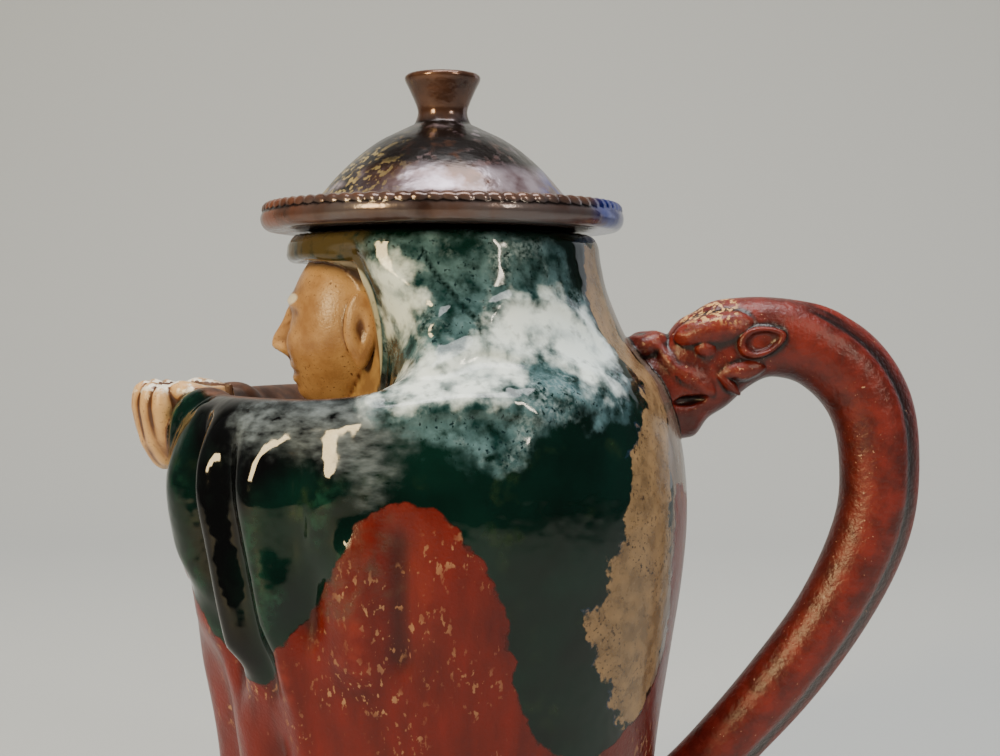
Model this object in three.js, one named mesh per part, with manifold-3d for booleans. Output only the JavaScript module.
// A lidded stoneware jug shaped as a robed, hooded figure. The arms make a basin that drains
// through the cupped hands, a dragon makes the handle, and a thrown lid rests on the rim.
// Millimetres, +Z up, the figure faces -X, the origin is the middle of the underside.
import * as THREE from 'three';
import { mergeVertices } from 'three/addons/utils/BufferGeometryUtils.js';
import Module from 'manifold-3d';

const wasm = await Module();
wasm.setup();

// Driving sizes of the jug
const jugHeight = 181.5; // foot to rim
const bellyRadius = 60.7;
const footRadius = 48.4;
const rimRadius = 38.8;
const wall = 5;
const rimWall = 4.8;
const floorThickness = 7;
const footBevel = 2.4;

// Driving sizes of the spout
const channelWidth = 11; // through the cuffs into the hands
const basinHeight = 130.5; // foot to the floor of the basin
const pourHoleWidth = 15;
const pourHoleHeight = 8;

// Driving sizes of the handle
const handleReach = 47.9; // belly to the middle of the bow
const handleThickness = 18.1;
const handleWidth = 16.6;
const crestHeight = 1.8;

// Driving sizes of the lid
const seatGap = 0.3; // between the rim and the lid that rests on it
const skirtClearance = 1.2;
const skirtDepth = 4;
const skirtThickness = 3.4;
const flangeOverhang = 6.2;
const flangeThickness = 5.8;
const domeRadius = 33.8;
const domeHeight = 20.6;
const lidWall = 4.4;
const knobHeight = 12.7;
const knobRadius = 9.5;
const knobWaist = 6.2;
const ropeRadius = 1.9; // bead along the edge of the flange

// The carving grows with the jug: its heights are drawn for a scale of 1
const scale = jugHeight / 181.5;

// Mesh fineness
const bodyColumns = 44;
const bodyRows = 31;
const headColumns = 20;
const headRows = 20;
const cavityColumns = 18;
const cavityRows = 13;
const handleColumns = 12;
const handleRows = 26;
const lidColumns = 26;

const { lerp: mix, smoothstep, degToRad } = THREE.MathUtils;
const ease = (from, to, x) => smoothstep(x, from, to);
const bump = (x, middle, spread) => Math.exp(-(((x - middle) / spread) ** 2));
const onJug = (angle, radius, height) =>
  new THREE.Vector3(-radius * Math.cos(angle), -radius * Math.sin(angle), height);

// Solids from grids of points

// Closed skin: rings of points from one end cap to the other, place(u, v) gives each point.
function skin(columns, rows, place) {
  const positions = [];
  const indices = [];
  for (let row = 0; row <= rows; row++) {
    for (let column = 0; column < columns; column++) {
      positions.push(...place(column / columns, row / rows).toArray());
    }
  }
  const at = (column, row) => row * columns + (column % columns);
  for (let row = 0; row < rows; row++) {
    for (let column = 0; column < columns; column++) {
      indices.push(at(column, row), at(column + 1, row), at(column + 1, row + 1));
      indices.push(at(column, row), at(column + 1, row + 1), at(column, row + 1));
    }
  }
  for (const row of [0, rows]) {
    const centre = new THREE.Vector3();
    for (let column = 0; column < columns; column++) {
      centre.add(new THREE.Vector3().fromArray(positions, 3 * at(column, row)));
    }
    const middle = positions.length / 3;
    positions.push(...centre.divideScalar(columns).toArray());
    for (let column = 0; column < columns; column++) {
      const edge = [at(column, row), at(column + 1, row)];
      indices.push(...(row === 0 ? [edge[1], edge[0]] : edge), middle);
    }
  }
  const geometry = new THREE.BufferGeometry();
  geometry.setAttribute('position', new THREE.Float32BufferAttribute(positions, 3));
  return geometry.setIndex(indices);
}

// Tube along a curve: size(v) gives its half width across the plane of the curve and its
// half thickness in it, and shape(turn) scales a point of the section.
function tube(curve, columns, rows, size, shape = () => 1) {
  return skin(columns, rows, (u, share) => {
    const v = 0.5 - 0.5 * Math.cos(Math.PI * share);
    const tangent = curve.getTangent(v);
    const across = new THREE.Vector3(0, 1, 0).addScaledVector(tangent, -tangent.y).normalize();
    const inPlane = new THREE.Vector3().crossVectors(tangent, across);
    const turn = 2 * Math.PI * u;
    const [halfWidth, halfThickness] = size(v);
    return curve
      .getPoint(v)
      .addScaledVector(across, halfWidth * Math.cos(turn) * shape(turn, v))
      .addScaledVector(inPlane, halfThickness * Math.sin(turn) * shape(turn, v));
  });
}

// Rounded ends: the share of the full size at v along a tube whose ends close like a thumb.
const thumb = (v, rounding = 0.25) =>
  Math.sqrt(Math.max(0.02, 1 - (1 - Math.min(1, v / rounding, (1 - v) / rounding)) ** 2));

const through = (...points) =>
  new THREE.CatmullRomCurve3(points.map((point) => new THREE.Vector3(...point)));

function solid(geometry) {
  const bare = mergeVertices(
    new THREE.BufferGeometry()
      .setAttribute('position', geometry.getAttribute('position'))
      .setIndex(geometry.index),
    1e-4,
  );
  const triangles = [];
  for (let i = 0; i < bare.index.count; i += 3) {
    const [a, b, c] = [0, 1, 2].map((k) => bare.index.getX(i + k));
    if (a !== b && b !== c && c !== a) triangles.push(a, b, c);
  }
  return new wasm.Manifold(
    new wasm.Mesh({
      numProp: 3,
      vertProperties: bare.attributes.position.array,
      triVerts: new Uint32Array(triangles),
    }),
  );
}

function meshOf(made, name, material) {
  const { vertProperties, triVerts } = made.getMesh();
  const geometry = new THREE.BufferGeometry();
  geometry.setAttribute('position', new THREE.BufferAttribute(vertProperties, 3));
  geometry.setIndex(new THREE.BufferAttribute(triVerts, 1));
  geometry.computeVertexNormals();
  const mesh = new THREE.Mesh(geometry, material);
  mesh.name = name;
  return mesh;
}

// Body of the jug

// Profile stations from the foot to the rim: radius and height round the back and sides,
// then radius and height down the front, where the arms and the basin behind them stand out.
const bodyStations = [
  [footRadius - footBevel, 0, footRadius - footBevel, 0],
  [footRadius, footBevel, footRadius + 0.6, footBevel],
  [mix(footRadius, bellyRadius, 0.19), 30, mix(footRadius, bellyRadius, 0.28), 30],
  [mix(footRadius, bellyRadius, 0.43), 58, mix(footRadius, bellyRadius, 0.48), 58],
  [mix(footRadius, bellyRadius, 0.7), 80, mix(footRadius, bellyRadius, 0.8), 80],
  [mix(footRadius, bellyRadius, 0.9), 96, bellyRadius, 95],
  [bellyRadius, 110, bellyRadius + 0.8, 109],
  [bellyRadius - 0.3, 122, bellyRadius + 1.8, 123],
  [mix(rimRadius, bellyRadius, 0.9), 134, bellyRadius + 0.8, 136.5],
  [mix(rimRadius, bellyRadius, 0.74), 143.5, bellyRadius - 4.7, 142.5],
  [mix(rimRadius, bellyRadius, 0.575), 148.3, bellyRadius - 12.7, 138],
  [mix(rimRadius, bellyRadius, 0.43), 152, rimRadius, basinHeight],
  [mix(rimRadius, bellyRadius, 0.305), 156, rimRadius - 10.8, basinHeight + 1],
  [mix(rimRadius, bellyRadius, 0.18), 162, rimRadius - 14.3, 142],
  [mix(rimRadius, bellyRadius, 0.08), 168, rimRadius - 14.3, 158],
  [rimRadius + 0.5, 174, rimRadius - 12, 172],
  [rimRadius + 0.1, 177, rimRadius - 2.4, 175.4],
  [rimRadius, 179.3, rimRadius, 178.6],
  [rimRadius - 2, jugHeight / scale, rimRadius - 2, jugHeight / scale],
];

const spline = (stations, first) =>
  new THREE.SplineCurve(
    stations.map((station) => new THREE.Vector2(station[first], station[first + 1] * scale)),
  );
const bodyRound = spline(bodyStations, 0);
const bodyFront = spline(bodyStations, 2);

// Share of the front profile at an angle from the front: the hood closes in behind the ears,
// and nearer to the middle over the brow.
function frontShare(angle, height) {
  const overBrow = ease(152, 176, height / scale);
  const start = degToRad(mix(54, 46, overBrow));
  const end = degToRad(mix(92, 68, overBrow));
  return 1 - ease(start, end, Math.abs(angle));
}

// Angle from the front, from -180 to 180 degrees, with columns closer together in front.
function frontedAngle(u, density) {
  const even = 2 * Math.PI * (u < 0.5 ? u : u - 1);
  return even - density * Math.sin(even);
}

// Folds of the robe: angle in degrees, upper and lower height, half width in degrees, and how
// far the fold stands out or sinks in.
const folds = [
  [0, 137, 88, 5, -5.5],
  [20, 132, 84, 6, 1.8],
  [29.5, 138, 74, 3.6, -3.6],
  [36.5, 137, 80, 4, 2.8],
  [43, 132, 78, 3.2, -2.6],
  [51, 137, 76, 5, 3],
  [61, 134, 90, 4.2, -2.2],
  [73, 117, 82, 6, 2.6],
  [83, 118, 84, 4, -1.2],
  [0, 94, 4, 5, -2.6],
  [11, 92, 4, 5, 1.8],
  [21, 84, 4, 4, -2.2],
  [31, 76, 4, 5, 1.6],
  [41, 70, 4, 4, -2],
  [53, 82, 6, 6, 1.5],
];

function foldHeight(angle, height) {
  const degrees = Math.abs(THREE.MathUtils.radToDeg(angle));
  const z = height / scale;
  return folds.reduce((sum, [middle, top, bottom, spread, depth]) => {
    const along = (z - bottom) / (top - bottom);
    const fade = ease(-0.12, 0.15, along) * (1 - ease(0.8, 1.1, along));
    return sum + depth * fade * bump(degrees, middle, spread);
  }, 0);
}

// The folds of the sleeves lean back on their way down to the points of the sleeves.
const sleeveLean = 8.5;
function leaning(angle, height) {
  const degrees = Math.abs(THREE.MathUtils.radToDeg(angle));
  const lean = sleeveLean * bump(degrees, 40, 20) * (1 - ease(78, 134, height / scale));
  return angle + Math.sign(angle) * degToRad(lean);
}

// Each sleeve hangs over the robe to a point: its lower edge is lowest at the point's angle.
const sleevePoint = 49;
const sleevePointHeight = 79.5;
const sleeveThickness = 2.2;
function sleeveLayer(angle, height) {
  const degrees = Math.abs(THREE.MathUtils.radToDeg(angle));
  const away = degrees - sleevePoint;
  const edge = sleevePointHeight + (away < 0 ? -0.78 * away : 1.7 * away);
  const z = height / scale;
  return sleeveThickness * ease(edge - 1.5, edge + 2.5, z) * (1 - ease(118, 140, z));
}

// Shawl folds over the shoulders, level ridges that fade out behind the hood.
function shawlHeight(angle, height) {
  const degrees = Math.abs(THREE.MathUtils.radToDeg(angle));
  const z = height / scale;
  const beside = ease(62, 82, degrees) * (1 - ease(118, 142, degrees));
  const sway = 2.5 * Math.cos(degToRad(3 * degrees));
  return beside * (1.7 * bump(z, 141 + sway, 3.6) - 1.1 * bump(z, 148.5 + sway, 3));
}

// Extra reach of both sleeves where the arms come together in front.
const armReach = 3.6;
function armHeight(angle, height) {
  const z = height / scale;
  const beforeHands = bump(THREE.MathUtils.radToDeg(angle), 0, 26);
  return armReach * beforeHands * ease(92, 116, z) * (1 - ease(139, 143, z));
}

const drapeHeight = (angle, height) =>
  sleeveLayer(angle, height) + shawlHeight(angle, height) + armHeight(angle, height);

function bodyPoint(column, v) {
  const round = bodyRound.getPoint(v);
  const front = bodyFront.getPoint(v);
  const level = mix(round.y, front.y, 0.5);
  const angle = leaning(column, level);
  const share = frontShare(angle, level);
  const radius = mix(round.x, front.x, share);
  const height = Math.max(0, mix(round.y, front.y, share));
  const outside = ease(rimRadius - 6, rimRadius + 4, radius) * ease(0, 4 * footBevel, height);
  const relief = foldHeight(column, height) + drapeHeight(angle, height);
  return onJug(angle, radius + scale * outside * relief, height);
}

function makeBody() {
  return solid(
    skin(bodyColumns, bodyRows, (u, v) => bodyPoint(frontedAngle(u, 0.55), v)),
  );
}

// The hem of the hood: angle from the front and share of the way up the body's profile, from
// the middle of the brow down to the arm. It is the same on both sides.
const hemRadius = 1.9;
const hemStations = [
  [0, 0.9],
  [20, 0.9],
  [38, 0.897],
  [50, 0.885],
  [57.5, 0.856],
  [61, 0.81],
  [62, 0.765],
  [60, 0.71],
  [54, 0.655],
];

function makeHem() {
  const side = (mirror) =>
    hemStations.map(([degrees, share]) => bodyPoint(mirror * degToRad(degrees), share));
  const curve = new THREE.CatmullRomCurve3([...side(-1).reverse(), ...side(1).slice(1)]);
  return solid(
    skin(6, 24, (u, v) => {
      const centre = curve.getPoint(v);
      const out = new THREE.Vector3(centre.x, centre.y, 0).normalize();
      const sideways = new THREE.Vector3().crossVectors(curve.getTangent(v), out).normalize();
      const size = hemRadius * scale * thumb(v, 0.06);
      return centre
        .addScaledVector(out, size * (Math.cos(2 * Math.PI * u) - 0.35))
        .addScaledVector(sideways, size * Math.sin(2 * Math.PI * u));
    }),
  );
}

// Head

const headHalf = new THREE.Vector3(17, 18.3, 21.5).multiplyScalar(scale);
const headCentre = new THREE.Vector3(headHalf.x - rimRadius + 0.4, 0, 158 * scale);

// Heights on the face by the rule of thirds: brow, base of the nose and chin.
const chinHeight = 139;
const thirdOfFace = 12.5;
const noseBase = chinHeight + thirdOfFace;
const browHeight = noseBase + thirdOfFace;
const mouthHeight = chinHeight + (2 / 3) * thirdOfFace;
const eyeHeight = browHeight - 3.4;
const eyeSide = 6.4;

// How far the face stands out at a point given by its side and its height.
function faceRelief(side, height) {
  const s = Math.abs(side);
  const down = (browHeight - height) / thirdOfFace;
  const bridge = ease(-0.05, 0.2, down) * (1 - ease(0.93, 1.03, down));
  const noseWidth = mix(1.9, 2.9, ease(0.4, 0.9, down));
  const nose = mix(1.4, 4.6, ease(0.1, 0.85, down)) * bridge * bump(s, 0, noseWidth);
  const nostril = 1.7 * bump(s, 2.9, 1.3) * bump(height, noseBase + 1.3, 1.5);
  const socket = -2.4 * bump(s, eyeSide - 0.3, 4.3) * bump(height, eyeHeight, 2.9);
  const eyeball = 1.9 * bump(s, eyeSide, 2.9) * bump(height, eyeHeight - 0.3, 1.9);
  const brow = 1.3 * bump(s, eyeSide, 4.6) * bump(height, browHeight + 0.6, 1.9);
  const cheek = 1.5 * bump(s, 9.4, 4.2) * bump(height, noseBase + 2.5, 5);
  const upperLip = 1.5 * bump(s, 0, 4.4) * bump(height, mouthHeight + 1.3, 1.2);
  const lowerLip = 1.6 * bump(s, 0, 3.6) * bump(height, mouthHeight - 1.6, 1.3);
  const lipLine = -1 * bump(s, 0, 5) * bump(height, mouthHeight, 0.7);
  const chin = 1.9 * bump(s, 0, 4.6) * bump(height, chinHeight + 2.6, 2.8);
  return nose + nostril + socket + eyeball + brow + cheek + upperLip + lowerLip + lipLine + chin;
}

// A head without its features: a rounded box that narrows to the jaw.
function headPoint(around, up) {
  const latitude = Math.PI * (up - 0.5);
  const level = Math.sin(latitude);
  const ring = Math.cos(latitude) ** 0.72;
  const jaw = 1 - 0.2 * ease(0.1, 1, -level);
  const width = headHalf.y * ring * jaw;
  const depth = headHalf.x * ring * (1 - 0.06 * ease(0.2, 1, level));
  const x = Math.sign(Math.cos(around)) * Math.abs(Math.cos(around)) ** 0.86 * depth;
  const y = Math.sin(around) * width;
  const z = level * headHalf.z;
  const facing = ease(0.15, 0.75, Math.cos(around));
  const relief = faceRelief(y / scale, (z + headCentre.z) / scale) * facing * ease(0, 0.3, ring);
  return new THREE.Vector3(headCentre.x - x - relief * scale, -y, headCentre.z + z);
}

function makeHead() {
  return solid(
    skin(headColumns, headRows, (u, v) => {
      return headPoint(frontedAngle(u, 0.6), mix(0.02, 0.98, v));
    }),
  );
}

// Ear: a flat shell with a raised rim and a long lobe, made once for each side.
const earLength = 19;
const earWidth = 8.4;
const earThickness = 3.4;
function makeEar(side) {
  const middle = new THREE.Vector3(
    headCentre.x + 2.6 * scale,
    side * (headHalf.y + 0.3 * scale),
    (browHeight - 6.4) * scale,
  );
  return solid(
    skin(10, 6, (u, v) => {
      const turn = 2 * Math.PI * u;
      const reach = Math.cos(Math.PI * (v - 0.5)) ** 0.8;
      const outward = Math.sin(Math.PI * (v - 0.5));
      const hollow = outward > 0 ? 0.62 * bump(reach, 0, 0.55) : 0;
      const lobe = 1 - 0.3 * ease(0, 1, -Math.sin(turn));
      return new THREE.Vector3(
        middle.x - side * reach * Math.cos(turn) * 0.5 * earWidth * lobe * scale,
        middle.y + side * (outward - hollow) * 0.5 * earThickness * scale,
        middle.z + reach * Math.sin(turn) * 0.5 * earLength * scale,
      );
    }),
  );
}

// Hands and cuffs

const palmCentre = new THREE.Vector3(-(bellyRadius + 2.4 * scale), 0, 141.5 * scale);
const palmHalf = new THREE.Vector3(11.5, 11.5, 18).multiplyScalar(scale);
const fingerRadius = 2.9;
const fingerAngles = [9, 28, 47, 66].map(degToRad);

// The palms make one half bowl, closed a little below the fingertips.
function makePalms() {
  return solid(
    skin(12, 5, (u, v) => {
      const turn = 2 * Math.PI * u;
      const latitude = mix(-0.48, 0.05, v) * Math.PI;
      return new THREE.Vector3(
        palmCentre.x - Math.cos(turn) * Math.cos(latitude) * palmHalf.x,
        palmCentre.y - Math.sin(turn) * Math.cos(latitude) * palmHalf.y,
        palmCentre.z + Math.sin(latitude) * (palmHalf.z + 0.8 * scale),
      );
    }),
  );
}

// A finger climbs the outside of the bowl from the wrist and ends above its rim.
function makeFinger(side, angle, index) {
  const rise = [1, 1.06, 1.02, 0.9][index];
  const points = [];
  for (let i = 0; i <= 5; i++) {
    const latitude = degToRad(mix(-68, 12 * rise, i / 5));
    points.push([
      palmCentre.x - Math.cos(angle) * Math.cos(latitude) * (palmHalf.x + 0.4 * scale),
      -side * Math.sin(angle) * Math.cos(latitude) * (palmHalf.y + 0.4 * scale),
      palmCentre.z + Math.sin(latitude) * palmHalf.z * rise,
    ]);
  }
  const size = (v) => Array(2).fill(fingerRadius * scale * mix(1.1, 0.86, v) * thumb(v, 0.2));
  return solid(tube(through(...points), 6, 5, size));
}

// A thumb lies along the edge of the palm, from the cuff to the side of the bowl.
function makeThumb(side) {
  const curve = through(
    [palmCentre.x + 10 * scale, side * 10.5 * scale, palmCentre.z - 2 * scale],
    [palmCentre.x + 3 * scale, side * 11 * scale, palmCentre.z + 0.6 * scale],
    [palmCentre.x - 4 * scale, side * 9 * scale, palmCentre.z + 1.4 * scale],
  );
  return solid(tube(curve, 6, 4, (v) => Array(2).fill(2.7 * scale * thumb(v, 0.3))));
}

// A cuff is the rolled edge of a sleeve: over the wrist, then down to the hem of the sleeve.
const cuffRadius = 5;
function makeCuff(side) {
  const front = -(bellyRadius + 0.4 * scale);
  const curve = through(
    [front + 13 * scale, side * 20 * scale, 134 * scale],
    [front + 6.5 * scale, side * 17.5 * scale, 139 * scale],
    [front + 1 * scale, side * 13.5 * scale, 137 * scale],
    [front - 0.8 * scale, side * 11.5 * scale, 126 * scale],
    [front - 0.4 * scale, side * 10.5 * scale, 112 * scale],
    [front + 2.6 * scale, side * 11 * scale, 100 * scale],
    [front + 11.6 * scale, side * 15 * scale, 88 * scale],
  );
  const size = (v) => [
    cuffRadius * scale * thumb(v, 0.14) * mix(1.08, 0.8, v),
    cuffRadius * scale * thumb(v, 0.14) * mix(1, 0.8, v),
  ];
  return solid(tube(curve, 7, 12, size));
}

// Hollows of the jug

// Stations of the inside, in the same order as the body's: round radius and height, then front.
const cavityStations = [
  [footRadius - wall - 7, floorThickness / scale, footRadius - wall - 7, floorThickness / scale],
  [footRadius - wall - 1, 13, footRadius - wall - 1, 13],
  [mix(footRadius, bellyRadius, 0.19) - wall, 30, mix(footRadius, bellyRadius, 0.1) - wall, 30],
  [mix(footRadius, bellyRadius, 0.46) - wall, 60.8, mix(footRadius, bellyRadius, 0.3) - wall, 58],
  [mix(footRadius, bellyRadius, 0.76) - wall, 83.5, mix(footRadius, bellyRadius, 0.4) - wall, 78],
  [bellyRadius - wall, 108, mix(footRadius, bellyRadius, 0.66) - wall, 98],
  [bellyRadius - wall - 0.3, 121, mix(footRadius, bellyRadius, 0.6) - wall, 111],
  [mix(rimRadius, bellyRadius, 0.88) - wall, 133, rimRadius, 121 - wall / 4],
  [mix(rimRadius, bellyRadius, 0.66) - wall, 143, rimRadius - wall - 8 * scale, 126.5 - wall / 4],
  [mix(rimRadius, bellyRadius, 0.38) - wall, 151, rimRadius - wall - 14.3 * scale, 136],
  [mix(rimRadius, bellyRadius, 0.16) - wall, 161, rimRadius - wall - 14.3 * scale, 152],
  [rimRadius + 0.5 - wall, 170, rimRadius - wall - 12.3 * scale, 166],
  [rimRadius - wall, 174.5, rimRadius - wall - 8.2 * scale, 173.6],
  [rimRadius - rimWall, 178.2, rimRadius - rimWall, 177.6],
  [rimRadius - rimWall, jugHeight / scale + 6, rimRadius - rimWall, jugHeight / scale + 6],
];
const cavityRound = spline(cavityStations, 0);
const cavityFront = spline(cavityStations, 2);

function makeCavity() {
  return solid(
    skin(cavityColumns, cavityRows, (u, v) => {
      const angle = frontedAngle(u, 0.2);
      const round = cavityRound.getPoint(v);
      const front = cavityFront.getPoint(v);
      const share = frontShare(angle, mix(round.y, front.y, 0.5));
      return onJug(angle, mix(round.x, front.x, share), mix(round.y, front.y, share));
    }),
  );
}

// The head is a mask: its hollow opens into the neck behind it.
function makeHeadHollow() {
  const hollow = new THREE.SphereGeometry(1, 10, 6);
  hollow.rotateX(Math.PI / 2);
  const half = headHalf.clone().addScalar(-wall);
  hollow.scale(half.x, half.y - 1.5 * scale, half.z - 2 * scale);
  hollow.translate(headCentre.x + 2 * scale, 0, headCentre.z + 1 * scale);
  return solid(hollow);
}

// Rounded slot along X, from one X to another, for the channel and for the pour hole.
function slot(fromX, toX, middleHeight, width, height) {
  return solid(
    skin(10, 1, (u, v) => {
      const turn = 2 * Math.PI * u;
      const squarer = (value) => Math.sign(value) * Math.abs(value) ** 0.75;
      return new THREE.Vector3(
        mix(fromX, toX, v),
        squarer(Math.cos(turn)) * 0.5 * width,
        middleHeight + squarer(Math.sin(turn)) * 0.5 * height,
      );
    }),
  );
}

const basinFloor = basinHeight * scale;
function makeChannel() {
  const fromX = -(bellyRadius + 6 * scale);
  const depth = 15 * scale;
  const middle = basinFloor + 2 * scale + 0.5 * depth;
  return slot(fromX, -(rimRadius + 1 * scale), middle, channelWidth, depth);
}

// Bowl of the hands, where the channel ends.
function makeBowl() {
  const bowl = new THREE.SphereGeometry(1, 10, 7);
  bowl.rotateX(Math.PI / 2);
  bowl.scale(palmHalf.x - 2.4 * scale, palmHalf.y - 3 * scale, 9.5 * scale);
  bowl.translate(palmCentre.x + 0.4 * scale, 0, palmCentre.z + 1.6 * scale);
  return solid(bowl);
}

function makePourHole() {
  const middle = basinFloor + 1.2 * scale + 0.5 * pourHoleHeight;
  const outer = -(rimRadius - 4.5 * scale);
  return slot(outer, outer + 20 * scale, middle, pourHoleWidth, pourHoleHeight);
}

// Handle, a dragon that bites the shoulder of the jug and whose tail joins the robe

// Stations from the mouth to the tail: distance of the middle from the belly, its height,
// half thickness in the plane of the handle, and the way the crest points, in degrees above +X.
const halfBow = 0.5 * handleThickness;
const handleStations = [
  [-9.4, 136, 15.1, 112],
  [-4.6, 141.6, 12.4, 101],
  [0, 145.4, 14.3, 99],
  [3.6, 148.7, 13.4, 97.5],
  [8.3, 151.6, 13.1, 98],
  [13.8, 154.3, 11.3, 97],
  [19.8, 155.7, halfBow + 1, 92],
  [27, 154.9, halfBow + 0.7, 76],
  [32.6, 152.6, halfBow + 0.45, 64],
  [39.1, 147.9, halfBow + 0.6, 47],
  [43.8, 142, halfBow + 0.6, 30],
  [46.7, 134.9, halfBow + 0.5, 16.5],
  [handleReach, 124.6, halfBow + 0.2, 3],
  [47.3, 112.8, halfBow, -12],
  [43.8, 101.3, halfBow - 0.2, -24],
  [35.4, 85.3, halfBow - 0.7, -33],
  [23.6, 69.2, halfBow - 0.9, -39],
  [11.1, 55, halfBow - 1.5, -41.5],
  [0.8, 44, halfBow - 1.4, -46],
  [-10.7, 34.5, halfBow - 1.2, -50],
  [-21, 27, halfBow - 1.6, -54],
];
const handleMiddle = new THREE.CatmullRomCurve3(
  handleStations.map(([reach, height]) => new THREE.Vector3(bellyRadius + reach, 0, height * scale)),
);
const handleSection = new THREE.SplineCurve(
  handleStations.map(([, , half, lean]) => new THREE.Vector2(half, lean)),
);

function handlePoint(u, v) {
  const middle = handleMiddle.getPoint(v);
  const section = handleSection.getPoint(v);
  const turn = 2 * Math.PI * u;
  const head = 1 - ease(0.3, 0.38, v);
  const lean = degToRad(section.y);
  const crest = (1 - head) * ease(0.3, 0.45, v) * crestHeight * bump(Math.sin(turn), 1, 0.045);
  const squarer = mix(1, 0.82, head);
  const halfWidth = 0.5 * handleWidth * mix(1, 0.86, ease(0.6, 1, v));
  const inPlane = Math.sign(Math.sin(turn)) * Math.abs(Math.sin(turn)) ** squarer;
  const across = Math.sign(Math.cos(turn)) * Math.abs(Math.cos(turn)) ** squarer;
  const out = (section.x * inPlane + crest) * scale;
  return new THREE.Vector3(
    middle.x + out * Math.cos(lean),
    halfWidth * across,
    middle.z + out * Math.sin(lean),
  );
}

// Rows closer together in the head.
const handleRow = (v) => mix(v, v ** 1.8, 0.55);
function makeHandle() {
  return solid(skin(handleColumns, handleRows, (u, v) => handlePoint(u, handleRow(v))));
}

// Lumps on the dragon's head: distance of the middle from the belly, its height and how far it
// lies to the side, then half length, half width, half height and tilt in degrees.
const dragonLumps = {
  nostril: [-9.6, 153.6, 0, 6.2, 7.2, 3.7, 6],
  snout: [-4.6, 148.2, 0, 7.8, 8.9, 3.2, -70],
  brow: [6.8, 158.2, 6.4, 10.6, 3.6, 3.3, 12],
  eye: [3.8, 153, 6.9, 2.9, 3.1, 2.4, 0],
  lip: [0.8, 145.6, 6.4, 7.2, 2.9, 2.6, -34],
  horn: [12.4, 147.6, 6.2, 6.6, 3.6, 2.5, 8],
  fang: [9.2, 144.6, 6.8, 4.6, 2.4, 1.3, -42],
};
const mouthHollow = [0.4, 140.2, 8.6, 4.8, 3.4, 1.5, 8];

function makeLump([reach, height, aside, length, width, depth, tilt], mirror = 1) {
  const lump = new THREE.SphereGeometry(1, 7, 5).rotateZ(Math.PI / 2);
  lump.scale(length * scale, width * scale, depth * scale);
  lump.rotateY(-degToRad(tilt));
  lump.translate(bellyRadius + reach, mirror * aside * scale, height * scale);
  return solid(lump);
}

const makeDragonFace = () =>
  Object.values(dragonLumps).flatMap((lump) =>
    (lump[2] > 0 ? [-1, 1] : [1]).map((mirror) => makeLump(lump, mirror)),
  );

// Dragon's ear: a leaf that lies back along the cheek, its outer face hollow.
const leafLength = 12.4;
const leafBreadth = 8.2;
function makeDragonEar(mirror) {
  const root = new THREE.Vector3(bellyRadius + 11.6 * scale, 0, 153.2 * scale);
  const along = new THREE.Vector3(Math.cos(0.26), 0, Math.sin(0.26));
  const up = new THREE.Vector3(-Math.sin(0.26), 0, Math.cos(0.26));
  const rings = [
    [0, 5.5],
    [1, 6],
    [0.92, 9.6],
    [0.62, 10.2],
    [0.4, 8.6],
  ];
  return solid(
    skin(10, rings.length - 1, (u, v) => {
      const [share, outward] = rings[Math.round(v * (rings.length - 1))];
      const turn = mirror * 2 * Math.PI * u;
      const lengthwise = 0.5 + 0.5 * share * Math.cos(turn);
      const breadth = 0.5 * leafBreadth * share * Math.sin(turn) * (1.15 - 0.5 * lengthwise);
      return root
        .clone()
        .addScaledVector(along, leafLength * lengthwise * scale)
        .addScaledVector(up, breadth * scale)
        .setY(-mirror * outward * scale);
    }),
  );
}

function makeJug(material) {
  const outside = wasm.Manifold.union([
    makeBody(),
    makeHem(),
    makeHead(),
    makeEar(-1),
    makeEar(1),
    makeHandle(),
    ...makeDragonFace(),
    makePalms(),
    ...[-1, 1].flatMap((side) => [
      makeDragonEar(side),
      makeCuff(side),
      makeThumb(side),
      ...fingerAngles.map((angle, index) => makeFinger(side, angle, index)),
    ]),
  ]);
  const hollows = [
    makeCavity(),
    makeHeadHollow(),
    makeChannel(),
    makeBowl(),
    makePourHole(),
    makeLump(mouthHollow, -1),
    makeLump(mouthHollow, 1),
  ];
  return meshOf(outside.subtract(wasm.Manifold.union(hollows)), 'jug', material);
}

// Lid

const seatHeight = jugHeight + seatGap;
const flangeRadius = rimRadius + flangeOverhang;
const skirtRadius = rimRadius - rimWall - skirtClearance;

// Outside of the dome as shares of its radius and of its height.
const domeShares = [
  [1, 0.015],
  [0.935, 0.085],
  [0.861, 0.22],
  [0.749, 0.43],
  [0.598, 0.655],
  [0.466, 0.81],
  [0.33, 0.92],
];

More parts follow.
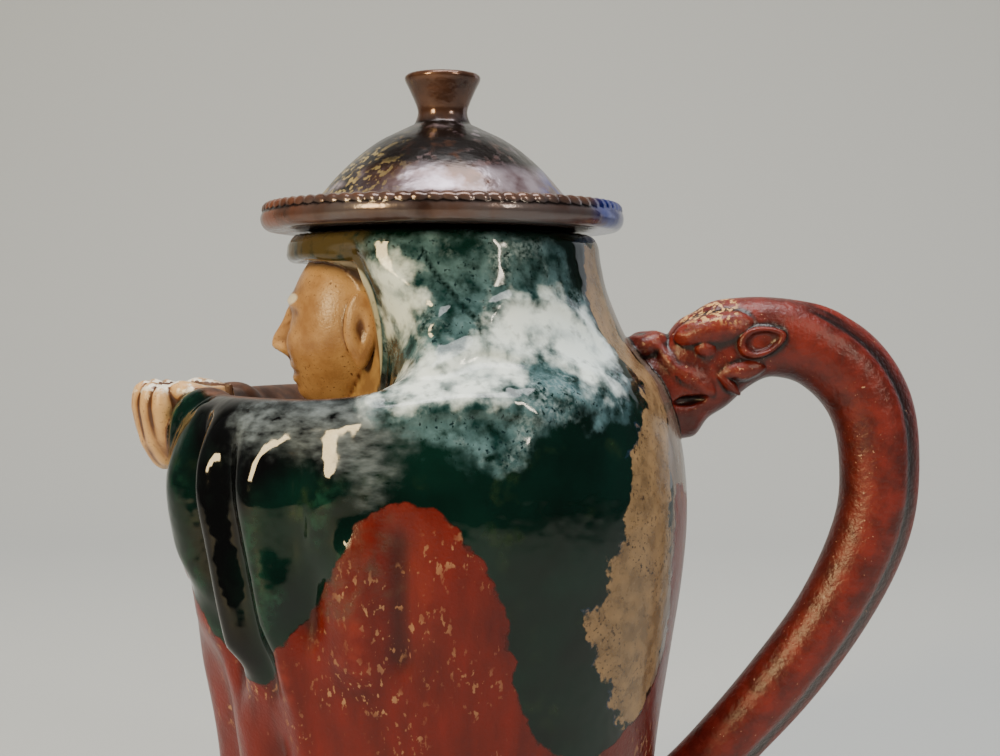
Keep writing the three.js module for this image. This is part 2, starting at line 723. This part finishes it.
// Half profile of the lid from the axis under the dome, out along the flange, to the knob.
function lidProfile() {
  const domeInside = domeRadius - lidWall;
  const flangeTop = flangeThickness;
  const domeTop = flangeTop + domeHeight;
  const edge = 0.42 * flangeThickness;
  const points = [[0, domeTop - lidWall]];
  for (const [radius, rise] of [domeShares[5], domeShares[3], domeShares[1]]) {
    points.push([radius * domeInside, flangeTop + rise * (domeHeight - lidWall)]);
  }
  points.push([skirtRadius - skirtThickness, 0.3 * flangeTop]);
  points.push([skirtRadius - skirtThickness, -skirtDepth]);
  points.push([skirtRadius, -skirtDepth]);
  points.push([skirtRadius, 0]);
  for (const turn of [-90, -45, -10, 25].map(degToRad)) {
    points.push([
      flangeRadius - edge + edge * Math.cos(turn),
      0.5 * flangeTop + 0.5 * flangeTop * Math.sin(turn),
    ]);
  }
  for (const turn of [-15, 45, 110, 170].map(degToRad)) {
    points.push([
      flangeRadius - ropeRadius + ropeRadius * (Math.cos(turn) - 0.2),
      flangeTop - 0.4 * ropeRadius + ropeRadius * Math.sin(turn),
    ]);
  }
  points.push([domeRadius + 1.5, flangeTop]);
  for (const [radius, rise] of domeShares) {
    points.push([radius * domeRadius, flangeTop + rise * domeHeight]);
  }
  const knob = [
    [1.14 * knobWaist, 0.02],
    [knobWaist, 0.2],
    [knobWaist * 1.03, 0.36],
    [mix(knobWaist, knobRadius, 0.55), 0.66],
    [knobRadius, 0.9],
    [0.82 * knobRadius, 1],
  ];
  for (const [radius, share] of knob) points.push([radius, domeTop + knobHeight * share]);
  points.push([0, domeTop + 0.97 * knobHeight]);
  return points.map(([radius, height]) => new THREE.Vector2(radius, height));
}

function makeLid(material) {
  const thrown = new THREE.LatheGeometry(lidProfile(), lidColumns);
  thrown.rotateX(Math.PI / 2);
  const mesh = meshOf(solid(thrown), 'lid', material);
  mesh.position.z = seatHeight;
  return mesh;
}

const stoneware = new THREE.MeshStandardMaterial({ color: 0x1f4a40, roughness: 0.18, metalness: 0 });
const bronzeGlaze = new THREE.MeshStandardMaterial({ color: 0x5a4238, roughness: 0.22, metalness: 0 });

const figuralJug = new THREE.Group();
figuralJug.add(makeJug(stoneware), makeLid(bronzeGlaze));

export default figuralJug;
